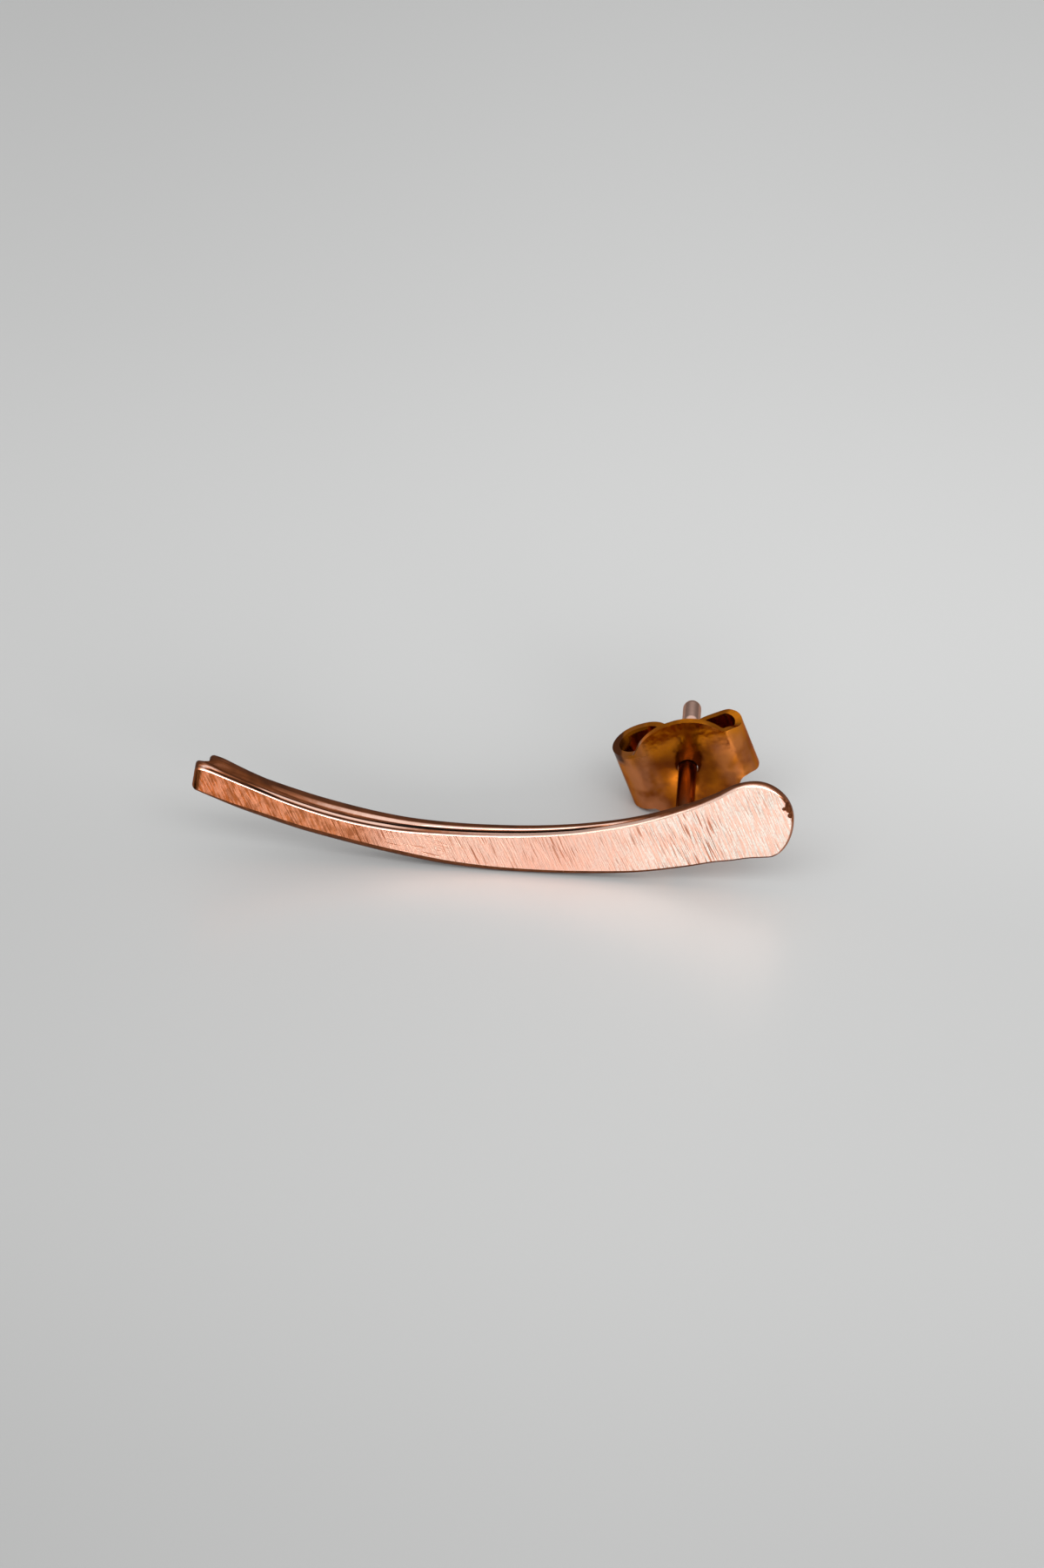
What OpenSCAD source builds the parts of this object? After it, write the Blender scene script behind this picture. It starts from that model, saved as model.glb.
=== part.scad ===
// Ear climber: a bar forged from round wire, an ear post soldered to its back, and a butterfly ear nut.
// It lies as it rests by itself: the bar stands on its lower edge and leans on the rim of the nut.
// The bar's own frame has x along the bar, y from the front face to the back and z up the face.

/* [Bar] */
// Length of the bar from the narrow end to the tip of the paddle
bar_length = 24.4; // [20:0.1:30]
// Diameter of the round wire that the bar is forged from
wire_d = 1.29; // [1.15:0.01:1.45]
// Depth of the groove along the upper edge, at the narrow end
groove_depth = 0.17; // [0.05:0.01:0.25]
// How far the back lip of the groove falls short at the narrow end
lip_step = 0.65; // [0:0.05:0.8]
// Width of the chamfer along the upper edge of the front face
chamfer = 0.07; // [0.02:0.01:0.12]

/* [Post] */
// Diameter of the ear post
post_d = 0.76; // [0.6:0.01:1]
// Length of the ear post from the back of the bar to its tip
post_length = 9.5; // [8:0.1:12]
// Distance of the post from the middle of the bar
post_x = 7.75; // [6:0.01:9]
// Height of the post above the middle of the bar's arc
post_z = -0.1; // [-0.5:0.05:0.5]
// Distance from the tip of the post to the notch that stops the nut from slipping off
notch_from_tip = 1.7; // [1.3:0.05:2]
// Depth of the notch
notch_depth = 0.08; // [0.04:0.01:0.12]
// Radius of the solder fillet at the foot of the post
fillet_r = 0.22; // [0.1:0.01:0.4]

/* [Ear nut] */
// Distance from the back of the bar to the front of the nut
nut_gap = 4.45; // [1:0.05:5.5]
// Diameter of the nut's round plate
plate_d = 4.6; // [3.6:0.05:4.8]
// Thickness of the nut's sheet
sheet = 0.3; // [0.2:0.01:0.4]
// Radial clearance of the hole on the post
clearance = 0.04; // [0.02:0.005:0.08]
// Turn of the nut about the post
nut_turn = 21; // [-90:1:90]

/* [Pose] */
// Lean of the bar about its lower edge, from upright
lean = 0.21; // [0:0.01:5]
// Tilt of the bar in the plane of its face
tilt = 0.78; // [-5:0.01:5]

/* [Hidden] */

post_r = post_d / 2;
hole_r = post_r + clearance;
wire_area = PI * wire_d * wire_d / 4;
half = bar_length / 2;

// The front face's outline. Columns: distance from the middle, upper edge, lower edge
OUTLINE = [
    [-12.2, 2.07, 1.00],
    [-11.5, 1.92, 0.67],
    [-10.0, 1.31, -0.03],
    [ -8.0, 0.50, -0.76],
    [ -6.0, -0.09, -1.30],
    [ -4.0, -0.42, -1.76],
    [ -2.0, -0.49, -2.11],
    [  0.0, -0.45, -2.27],
    [  2.0, -0.31, -2.27],
    [  4.0, 0.00, -2.16],
    [  6.0, 0.52, -1.95],
    [  8.0, 1.33, -1.53],
    [  9.0, 1.88, -1.26],
    [  9.8, 2.42, -1.11],
    [ 10.5, 2.63, -0.95],
    [ 12.2, 2.66, -0.76],
];
UPPER = 1;
LOWER = 2;
drawn_half = 12.2;
slope_reach = 0.2;

// The paddle closes on two quarter ellipses that meet at its tip
tip_z = 0.9;
tip_upper = 1.7;
tip_lower = 0.95;

// Rounding of the narrow end and of the bar's long edges
end_r = 0.18;
edge_r = 0.14;
paddle_edge_r = 0.12;
edge_share = 0.3;
chamfer_share = 0.2;
end_trim_front = 0.6;
end_trim_back = 0.9;

// Share of its bounding rectangle that the forged section fills
section_fill = 0.93;

// The narrow end is filed thinner by this share, from here on
end_thinning = 0.16;
thinning_start = -8;
thinning_length = 4;

// The groove fades out here, over this length. Its middle and half width are shares of the thickness
groove_end = 4;
groove_fade = 8;
groove_middle = 0.47;
groove_half = 0.2;
lip_length = 3;

// The foot of the post is sunk into the bar by this much, and the rim of its fillet stands this high
post_sink = 0.15;
fillet_rim = 0.04;
notch_half = 0.28;

// The nut's wings. Columns: reach from the hole, depth of the roll, height of the tab at the plate and at
// its end, and how far the end is bent up
LEFT_WING = [2.45, 2.35, 2.85, 2.65, 0];
RIGHT_WING = [2.3, 1.8, 2.8, 2.1, 0.25];
REACH = 0;
DEPTH = 1;
ROOT_HEIGHT = 2;
END_HEIGHT = 3;
LIFT = 4;

station_step = 0.42;
end_steps = 4;
tip_steps = 12;
arc_steps = 4;
groove_steps = 3;
turned_steps = 8;
notch_steps = 4;

// Smooth curve through one column of a table whose first column is the distance along the bar
function row_slope(table, i, column) =
    let (low = max(i - 1, 0), high = min(i + 1, len(table) - 1))
    (table[high][column] - table[low][column]) / (table[high][0] - table[low][0]);
function curve(table, x, column, i = 0) =
    x > table[i + 1][0] && i < len(table) - 2 ? curve(table, x, column, i + 1) :
    let (
        span = table[i + 1][0] - table[i][0],
        u = min(max((x - table[i][0]) / span, 0), 1),
        slope0 = row_slope(table, i, column) * span,
        slope1 = row_slope(table, i + 1, column) * span
    )
    (2*u*u*u - 3*u*u + 1) * table[i][column] + (u*u*u - 2*u*u + u) * slope0
    + (3*u*u - 2*u*u*u) * table[i + 1][column] + (u*u*u - u*u) * slope1;

// The outline at the real length, with the paddle's tip and the narrow end closed
function drawn(x) = x * drawn_half / half;
function drawn_upper(x) = curve(OUTLINE, drawn(x), UPPER);
function drawn_lower(x) = curve(OUTLINE, drawn(x), LOWER);
function closing(x, reach) =
    let (u = max(0, drawn(x) - drawn_half + reach) / reach)
    sqrt(max(0, 1 - u * u));
function inset(distance, r) =
    distance >= r ? 0 : r - sqrt(max(0, r * r - (r - distance) * (r - distance)));
function upper(x) =
    tip_z + (drawn_upper(x) - tip_z) * closing(x, tip_upper) - inset(x + half, end_r);
function lower(x) =
    tip_z + (drawn_lower(x) - tip_z) * closing(x, tip_lower) + inset(x + half, end_r);

// Forging spreads the wire and keeps its section, so a taller bar is a thinner one
function middle(x) = (drawn_upper(x) + drawn_lower(x)) / 2;
function slope(x) = (middle(x + slope_reach) - middle(x - slope_reach)) / (2 * slope_reach);
function thickness(x) =
    wire_area / section_fill / ((drawn_upper(x) - drawn_lower(x)) * cos(atan(slope(x))))
    * (1 - end_thinning * max(0, thinning_start - drawn(x)) / thinning_length);

// One section of the bar as [y, z] points
function arc(cy, cz, r, from) =
    [for (k = [0:arc_steps]) let (a = from + 90 * k / arc_steps) [cy + r * cos(a), cz + r * sin(a)]];
function groove(x) =
    groove_depth * min(1, max(0, (groove_end - drawn(x)) / groove_fade));
function section(x) =
    let (
        top = upper(x),
        bottom = lower(x),
        trim = max(inset(x + half, end_r), inset(half - x, paddle_edge_r)),
        near = trim * end_trim_front,
        far = thickness(x) - trim * end_trim_back,
        r = min(edge_r, edge_share * (far - near), edge_share * (top - bottom)),
        cut = min(chamfer, chamfer_share * (far - near)),
        g = groove(x)
    )
    concat(
        arc(near + r, bottom + r, r, 180),
        arc(far - r, bottom + r, r, 270),
        arc(far - r, top - r, r, 0),
        [for (k = [groove_steps:-1:-groove_steps])
            let (u = k / groove_steps)
            [near + (far - near) * (groove_middle + groove_half * u), top - g * (1 + cos(180 * u)) / 2]],
        [[near + cut, top], [near, top - cut]]
    );

// Stations along the bar, close together where the paddle closes
body_start = -half + end_r;
body_end = half - tip_upper;
body_steps = round((body_end - body_start) / station_step);
STATIONS = concat(
    [for (k = [0:end_steps]) -half + end_r * (1 - cos(90 * k / end_steps))],
    [for (k = [1:body_steps]) body_start + (body_end - body_start) * k / body_steps],
    [for (k = [1:tip_steps]) half - tip_upper * (1 - sin(90 * k / (tip_steps + 0.35)))]
);

// The back lip starts later than the front lip at the narrow end
function skew(x, y) = lip_step * max(0, 1 - (x + half) / lip_length) * y / thickness(-half);
function ring(x) = [for (p = section(x)) [x + skew(x, p[0]), p[0], p[1]]];

module bar() {
    rings = [for (x = STATIONS) ring(x)];
    n = len(rings[0]);
    last = len(rings) - 1;
    points = [for (r = rings) for (p = r) p];
    sides = [for (i = [0:last - 1]) for (k = [0:n - 1])
        [i * n + k, (i + 1) * n + k, (i + 1) * n + (k + 1) % n, i * n + (k + 1) % n]];
    ends = [[for (k = [0:n - 1]) k], [for (k = [n - 1:-1:0]) last * n + k]];
    polyhedron(points, concat(sides, ends), convexity = 8);
}

// The post lies along y, turned in one piece with a fillet of solder at its foot, a notch and a round tip
module post() {
    back = thickness(post_x);
    shoulder = back + post_length - post_r;
    notch = back + post_length - notch_from_tip;
    profile = concat(
        [[0, back - post_sink], [post_r + fillet_r, back - post_sink]],
        [for (k = [0:turned_steps]) let (a = 90 * k / turned_steps)
            [post_r + fillet_r * (1 - sin(a)), back + fillet_rim + fillet_r * (1 - cos(a))]],
        [for (k = [-notch_steps:notch_steps])
            let (cut = notch_depth * (1 + cos(180 * k / notch_steps)) / 2)
            [post_r - cut, notch + notch_half * k / notch_steps]],
        [for (k = [0:turned_steps]) let (a = 90 * k / turned_steps)
            [post_r * cos(a), shoulder + post_r * sin(a)]]
    );
    rotate([-90, 0, 0])
        rotate_extrude($fn = 48)
            polygon(profile);
}

// The part stands on z = 0, with the origin under the middle of its box
function rest_z(p) = p[1] * sin(lean) + (p[0] * sin(tilt) + p[2] * cos(tilt)) * cos(lean);
lowest = min([for (x = STATIONS) for (p = ring(x)) rest_z(p)]);
module rest_pose() {
    translate([0, -(thickness(post_x) + post_length) / 2, -lowest])
        rotate([lean, 0, 0])
            rotate([0, -tilt, 0])
                children();
}

module climber_bar() {
    color([0.86, 0.56, 0.42])
        rest_pose() {
            bar();
            translate([post_x, 0, post_z])
                post();
        }
}

// The ear nut's own frame has x along its wings, y along the post and z across the sheet
module roll(reach, depth, r) {
    for (x = [depth / 2, reach - depth / 2])
        translate([x, depth / 2])
            circle(r = r, $fn = 96);
    translate([depth / 2, depth / 2 - r])
        square([reach - depth, 2 * r]);
}

// One wing runs out from the hole, rolls back and in again, and ends against the post
module scroll(reach, depth) {
    square([hole_r + reach - depth / 2, sheet]);
    translate([hole_r, 0])
        difference() {
            roll(reach, depth, depth / 2);
            roll(reach, depth, depth / 2 - sheet);
            translate([-sheet, -sheet])
                square([depth / 2 + sheet, depth / 2 + sheet]);
        }
}

// The flat blank of one wing: half of the round plate with a tab that narrows towards its end
module blank(wing) {
    end = hole_r + wing[REACH] + sheet;
    circle(d = plate_d, $fn = 96);
    polygon([
        [0, -wing[ROOT_HEIGHT] / 2],
        [end, wing[LIFT] - wing[END_HEIGHT] / 2],
        [end, wing[LIFT] + wing[END_HEIGHT] / 2],
        [0, wing[ROOT_HEIGHT] / 2],
    ]);
}

// Seen from the side, only the flat front is as broad as the plate, and the roll is as narrow as its end
module side_view(wing) {
    front = 1.6 * sheet;
    back = wing[DEPTH] + sheet;
    translate([-sheet, -plate_d])
        square([sheet + front, 2 * plate_d]);
    polygon([
        [0, -wing[ROOT_HEIGHT] / 2],
        [front, -wing[ROOT_HEIGHT] / 2],
        [back, wing[LIFT] - wing[END_HEIGHT] / 2],
        [back, wing[LIFT] + wing[END_HEIGHT] / 2],
        [front, wing[ROOT_HEIGHT] / 2],
        [0, wing[ROOT_HEIGHT] / 2],
    ]);
}
module wing(wing) {
    intersection() {
        linear_extrude(height = plate_d, center = true)
            scroll(wing[REACH], wing[DEPTH]);
        rotate([90, 0, 0])
            translate([0, 0, -wing[DEPTH] - sheet])
                linear_extrude(height = wing[DEPTH] + 2 * sheet)
                    blank(wing);
        rotate([90, 0, 90])
            linear_extrude(height = plate_d)
                side_view(wing);
    }
}

module ear_nut() {
    color([0.62, 0.33, 0.13])
        rest_pose()
            translate([post_x, thickness(post_x) + nut_gap, post_z])
                rotate([0, -nut_turn, 0])
                    difference() {
                        union() {
                            wing(RIGHT_WING);
                            mirror([1, 0, 0])
                                wing(LEFT_WING);
                        }
                        rotate([90, 0, 0])
                            cylinder(h = 2 * plate_d, r = hole_r, center = true, $fn = 48);
                    }
}

climber_bar();
ear_nut();
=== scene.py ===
"""The looks of an ear climber: a forged copper bar with a soldered ear post, and its butterfly nut."""
import bpy
import bmesh
import math
from mathutils import Matrix, Vector


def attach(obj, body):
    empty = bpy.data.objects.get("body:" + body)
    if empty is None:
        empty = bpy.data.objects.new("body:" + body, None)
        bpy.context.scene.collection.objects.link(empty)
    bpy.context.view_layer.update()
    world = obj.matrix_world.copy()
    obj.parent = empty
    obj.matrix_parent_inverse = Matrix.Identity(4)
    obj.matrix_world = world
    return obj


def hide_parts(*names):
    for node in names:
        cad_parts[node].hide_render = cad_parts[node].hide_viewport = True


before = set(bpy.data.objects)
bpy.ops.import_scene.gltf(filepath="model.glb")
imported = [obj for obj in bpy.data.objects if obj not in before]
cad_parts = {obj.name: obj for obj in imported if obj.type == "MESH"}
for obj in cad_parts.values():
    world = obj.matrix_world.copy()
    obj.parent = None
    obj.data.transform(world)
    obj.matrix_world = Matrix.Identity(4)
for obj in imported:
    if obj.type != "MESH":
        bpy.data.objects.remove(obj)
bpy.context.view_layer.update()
bpy.ops.object.select_all(action="DESELECT")

# Measures in millimetres, in the bar's own frame
# x runs along the bar, y from the front face to the back, z up the face
MM = 0.001
HALF = 12.2
WIRE_D = 1.29
WIRE_AREA = math.pi * WIRE_D ** 2 / 4
# share of its bounding rectangle that the forged section fills
SECTION_FILL = 0.93
# the narrow end is filed thinner by a share, from a place on, over a length
END_THINNING, THINNING_START, THINNING_LENGTH = 0.16, -8.0, 4.0
# columns of the outline: distance from the middle, upper edge, lower edge
UPPER, LOWER = 1, 2
OUTLINE = [
    (-12.2, 2.07, 1.00), (-11.5, 1.92, 0.67), (-10.0, 1.31, -0.03), (-8.0, 0.50, -0.76),
    (-6.0, -0.09, -1.30), (-4.0, -0.42, -1.76), (-2.0, -0.49, -2.11), (0.0, -0.45, -2.27),
    (2.0, -0.31, -2.27), (4.0, 0.00, -2.16), (6.0, 0.52, -1.95), (8.0, 1.33, -1.53),
    (9.0, 1.88, -1.26), (9.8, 2.42, -1.11), (10.5, 2.63, -0.95), (12.2, 2.66, -0.76),
]
# the paddle closes on two quarter ellipses that meet at its tip: the tip's height and the reach of each
TIP_Z, TIP_UPPER, TIP_LOWER = 0.9, 1.7, 0.95
# from here on the paddle's thickness changes evenly, to this at its tip
PADDLE_FROM, TIP_THICKNESS = 10.5, 0.41
# the narrow end has rounded corners and leans back, more towards its upper edge
END_TOP_R, END_LOW_R = 0.22, 0.22
END_LEAN, END_LEAN_LENGTH = 0.14, 1.4
# the back lip of the groove starts this much later than the front lip, which evens out over a length.
# Between these shares of the thickness the front lip ends and the back lip begins
LIP_STEP, LIP_LENGTH = 0.65, 3.0
FRONT_LIP, BACK_LIP = 0.5, 0.64
# stations along the bar: their distance, the length and the steps that round off the narrow end, and the
# steps of the paddle's tip, of which the last stays a share of a step short of the tip itself
STATION = 0.16
NARROW_END, END_STEPS = 0.24, 8
TIP_STEPS, TIP_SHORT = 16, 0.35
# the post, its solder and its notch
POST_R, POST_LENGTH, POST_X, POST_Z = 0.38, 9.5, 7.75, -0.1
POST_SINK, SOLDER, SOLDER_RIM = 0.16, 0.24, 0.02
NOTCH_FROM_TIP, NOTCH_HALF, NOTCH_DEPTH = 1.7, 0.28, 0.08
ROUND_SIDES = 48
# the nut: distance from the bar's back, turn about the post in degrees, sheet, hole and plate
NUT_GAP, NUT_TURN = 4.45, 21.0
SHEET, HOLE_R, PLATE_R = 0.3, 0.42, 2.3

# The rest pose: the bar stands on its lower edge and leans back on the rim of the nut
LEAN, TILT = math.radians(0.21), math.radians(0.78)
# the bar's own origin lies this far before and above the origin of the shared frame
BEFORE, ABOVE = 5.01445, 2.27626
REST = (Matrix.Translation((0, -BEFORE * MM, ABOVE * MM)) @ Matrix.Rotation(LEAN, 4, "X")
        @ Matrix.Rotation(-TILT, 4, "Y") @ Matrix.Scale(MM, 4))

# How near two points are to be at one place and a point is to its station, and how squarely a face looks to
# the front or the back to be a flat one
SAME, NEAR, SQUARELY = 1e-5, 2e-4, 0.9


def slope_at(i, column):
    """Slope of the outline at a row of its table."""
    low, high = OUTLINE[max(i - 1, 0)], OUTLINE[min(i + 1, len(OUTLINE) - 1)]
    return (high[column] - low[column]) / (high[0] - low[0])


def outline(x, column):
    """The smooth curve through one column of the outline's table."""
    i = 0
    while i < len(OUTLINE) - 2 and x > OUTLINE[i + 1][0]:
        i += 1
    a, b = OUTLINE[i], OUTLINE[i + 1]
    span = b[0] - a[0]
    u = min(max((x - a[0]) / span, 0.0), 1.0)
    return ((2 * u ** 3 - 3 * u * u + 1) * a[column] + (u ** 3 - 2 * u * u + u) * slope_at(i, column) * span
            + (3 * u * u - 2 * u ** 3) * b[column] + (u ** 3 - u * u) * slope_at(i + 1, column) * span)


def closing(x, reach):
    """1 along the bar, falling to 0 at the paddle's tip on a quarter ellipse."""
    u = max(0.0, x - HALF + reach) / reach
    return math.sqrt(max(0.0, 1 - u * u))


def rounding(distance, r):
    """How far a rounded corner falls short at a distance from the end."""
    return 0.0 if distance >= r else r - math.sqrt(max(0.0, r * r - (r - distance) ** 2))


def upper(x):
    """Height of the bar's upper edge."""
    return TIP_Z + (outline(x, UPPER) - TIP_Z) * closing(x, TIP_UPPER) - rounding(x + HALF, END_TOP_R)


def lower(x):
    """Height of the bar's lower edge."""
    return TIP_Z + (outline(x, LOWER) - TIP_Z) * closing(x, TIP_LOWER) + rounding(x + HALF, END_LOW_R)


def mid_line(x):
    """Height half way between the two edges."""
    return (outline(x, UPPER) + outline(x, LOWER)) / 2


def thickness(x):
    """Forging spreads the wire and keeps its section, so a taller bar is a thinner one."""
    if x > PADDLE_FROM:
        start = thickness(PADDLE_FROM)
        return start + (TIP_THICKNESS - start) * (x - PADDLE_FROM) / (HALF - PADDLE_FROM)
    # the section is square to the mid line, whose lean is taken over a short stretch
    aside = 0.2
    lean = math.atan((mid_line(x + aside) - mid_line(x - aside)) / (2 * aside))
    full = WIRE_AREA / SECTION_FILL / ((outline(x, UPPER) - outline(x, LOWER)) * math.cos(lean))
    return full * (1 - END_THINNING * max(0.0, THINNING_START - x) / THINNING_LENGTH)


def ramp(x, points):
    """A value that runs straight from point to point of a list of (place, value)."""
    if x <= points[0][0]:
        return points[0][1]
    for (a, p), (b, q) in zip(points, points[1:]):
        if x <= b:
            return p + (q - p) * (x - a) / (b - a)
    return points[-1][1]


def smooth(x, a, b):
    """A soft step from 0 at a to 1 at b."""
    u = min(max((x - a) / (b - a), 0.0), 1.0)
    return u * u * (3 - 2 * u)


def angles(quarter_steps, first, last):
    """Angles from one step to another, where a quarter turn has so many steps."""
    return [math.pi / 2 * k / quarter_steps for k in range(first, last + 1)]


# Small helpers for work in edit mode
def edit():
    bpy.ops.object.mode_set(mode="EDIT")


def leave():
    bpy.ops.object.mode_set(mode="OBJECT")


def picked(kind, test):
    """Selects the vertices, edges or faces that pass a test, and nothing else."""
    data = bpy.context.edit_object.data
    bpy.context.tool_settings.mesh_select_mode = (kind == "verts", kind == "edges", kind == "faces")
    bpy.ops.mesh.select_all(action="DESELECT")
    bm = bmesh.from_edit_mesh(data)
    for item in list(filter(test, getattr(bm, kind))):
        item.select_set(True)
    bm.select_flush_mode()
    bmesh.update_edit_mesh(data)


def resize(x=1.0, y=1.0, z=1.0, about=(0, 0, 0)):
    bpy.ops.transform.resize(value=(x, y, z), center_override=about)


def move(x=0.0, y=0.0, z=0.0):
    bpy.ops.transform.translate(value=(x, y, z))


def draw_out(x=0.0, y=0.0, z=0.0):
    """Extrudes what is selected by a step."""
    bpy.ops.mesh.extrude_region_move(TRANSFORM_OT_translate={"value": (x, y, z)})


def face_outward():
    picked("faces", lambda f: True)
    bpy.ops.mesh.normals_make_consistent(inside=False)


# Small helpers for whole pieces
def settled():
    """Puts the place, turn and size of the active object into its mesh."""
    bpy.ops.object.transform_apply(location=True, rotation=True, scale=True)
    return bpy.context.object


def upright_square(name, x):
    """A square of one millimetre along x and z, the start of a strip."""
    bpy.ops.object.select_all(action="DESELECT")
    bpy.ops.mesh.primitive_plane_add(size=1, location=(x, 0, 0), rotation=(math.pi / 2, 0, 0))
    made = settled()
    made.name = made.data.name = name
    return made


def modifier(piece, kind, **settings):
    """Adds a modifier, sets it and applies it."""
    bpy.context.view_layer.objects.active = piece
    added = piece.modifiers.new(kind.title(), kind)
    for key, value in settings.items():
        setattr(added, key, value)
    bpy.ops.object.modifier_apply(modifier=added.name)


def combine(piece, tool, operation):
    """Joins a closed tool to a piece or cuts the piece with it, and removes the tool."""
    modifier(piece, "BOOLEAN", operation=operation, object=tool, solver="EXACT")
    bpy.data.objects.remove(tool)


def weight_group(piece, name, weight):
    """A vertex group whose weights come from a rule for each point."""
    group = piece.vertex_groups.new(name=name)
    for v in piece.data.vertices:
        value = weight(v)
        if value > 0:
            group.add([v.index], min(value, 1.0), "REPLACE")


def push(piece, group, direction, strength):
    """Moves the points of a group along an axis, each by its weight's share of the strength."""
    modifier(piece, "DISPLACE", strength=strength, mid_level=0.0, direction=direction, vertex_group=group)


def point_value(piece, name, rule):
    """A number at each point of the mesh, for the material to read."""
    attribute = piece.data.attributes.new(name, "FLOAT", "POINT")
    for v in piece.data.vertices:
        attribute.data[v.index].value = rule(v)


def place(piece, matrix):
    """Puts a piece that was made in its own millimetres into the shared frame."""
    piece.matrix_world = matrix
    bpy.ops.object.select_all(action="DESELECT")
    piece.select_set(True)
    bpy.context.view_layer.objects.active = piece
    settled()
    piece.select_set(False)


# The bar, drawn out as a strip and thickened
def station_places():
    ends = [-HALF + NARROW_END * (1 - math.cos(a)) for a in angles(END_STEPS, 0, END_STEPS)]
    count = round((PADDLE_FROM - ends[-1]) / STATION)
    body = [ends[-1] + (PADDLE_FROM - ends[-1]) * k / count for k in range(1, count + 1)]
    tip = [HALF - TIP_UPPER * (1 - math.sin(a)) for a in angles(TIP_STEPS + TIP_SHORT, 1, TIP_STEPS)]
    return ends + body + tip


def forge_bar():
    stations = station_places()
    x0, x1 = stations[0], stations[1]
    mid = (x0 + x1) / 2
    bar = upright_square("forged_bar", mid)
    edit()
    # the first piece of the strip takes its length and its two heights
    picked("verts", lambda v: True)
    resize(x=x1 - x0, about=(mid, 0, 0))
    for x, side in ((x0, lambda v: v.co.x < mid), (x1, lambda v: v.co.x > mid)):
        picked("verts", side)
        resize(z=upper(x) - lower(x))
        move(z=(upper(x) + lower(x)) / 2)
    # the strip is drawn out station by station
    last = x1
    picked("edges", lambda e: all(abs(v.co.x - x1) < SAME for v in e.verts))
    for x in stations[2:]:
        centre = (upper(x) + lower(x)) / 2
        draw_out(x=x - last, z=centre - (upper(last) + lower(last)) / 2)
        resize(z=(upper(x) - lower(x)) / (upper(last) - lower(last)), about=(x, 0, centre))
        last = x
    # it gets its thickness, which changes along the bar
    picked("faces", lambda f: True)
    draw_out(y=1)
    for x in stations:
        picked("verts", lambda v: abs(v.co.y - 1) < NEAR and abs(v.co.x - x) < NEAR)
        resize(y=thickness(x))
    # the two ends of the front and the back become single flat faces
    for side in (-1, 1):
        for end in (lambda x: x > PADDLE_FROM, lambda x: x < -HALF + NARROW_END):
            picked("faces", lambda f: f.normal.y * side > SQUARELY and end(f.calc_center_median().x))
            bpy.ops.mesh.dissolve_faces()
    face_outward()
    leave()
    return bar


# How far the rims of the front face are rounded: distance from the middle and width, even round each end
HIGH_RIM = [(-11.6, 0.07), (-10.9, 0.035), (1, 0.045), (4, 0.055), (8, 0.075), (PADDLE_FROM, 0.1)]
LOW_RIM = [(-11.6, 0.07), (-9.4, 0.34), (-3, 0.36), (2, 0.26), (7, 0.14), (PADDLE_FROM, 0.1)]
BACK_RIM, WIDEST_RIM, RIM_SEGMENTS = 0.08, 0.4, 5
# into how many narrow lines the band between the rims is split
BAND_CUTS = 31


def rim_width(place_on_rim):
    """How far the rim is rounded at a place of the outline."""
    x, y, z = place_on_rim
    if y > NEAR:
        return BACK_RIM
    return ramp(x, HIGH_RIM if z > (upper(x) + lower(x)) / 2 else LOW_RIM)


def round_rims(bar):
    edit()
    bm = bmesh.from_edit_mesh(bar.data)
    layer = bm.edges.layers.float.new("bevel_weight_edge")
    for e in bm.edges:
        flat = [abs(f.normal.y) > SQUARELY for f in e.link_faces]
        if flat.count(True) == 1 and len(flat) == 2:
            e[layer] = rim_width((e.verts[0].co + e.verts[1].co) / 2) / WIDEST_RIM
    bmesh.update_edit_mesh(bar.data)
    leave()
    modifier(bar, "BEVEL", width=WIDEST_RIM, segments=RIM_SEGMENTS, limit_method="WEIGHT",
             offset_type="OFFSET", use_clamp_overlap=False, loop_slide=True, miter_outer="MITER_SHARP")


def band_lines(bar):
    """Splits the band between the rims into narrow lines that run round the bar."""
    def spans(e):
        """The edge runs straight along y, over a good part of the thickness."""
        d = e.verts[1].co - e.verts[0].co
        return abs(d.y) > 0.95 * d.length and abs(d.y) > 0.3 * thickness(e.verts[0].co.x)
    edit()
    picked("edges", spans)
    bpy.ops.mesh.subdivide(number_cuts=BAND_CUTS)
    leave()


def share(v):
    """0 at the front face, 1 at the back."""
    return min(max(v.co.y / thickness(v.co.x), 0.0), 1.0)


def skew_share(v):
    """At the narrow end the groove's back lip starts later than the front lip, and the end leans back."""
    from_end = v.co.x + HALF
    late = 0.0
    if v.co.y > 0:
        late = max(0.0, 1 - from_end / LIP_LENGTH) * smooth(share(v), FRONT_LIP, BACK_LIP)
    lean = max(0.0, 1 - from_end / END_LEAN_LENGTH) * (v.co.z - outline(-HALF, LOWER)) * END_LEAN / LIP_STEP
    return late + max(0.0, lean)


# The upper edge ends here, at the paddle's tip, and its shape reaches this far down the sides
TOP_END = 11.9
TOP_REACH = [(-11.95, 0.75), (-11.6, 0.35)]
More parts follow.
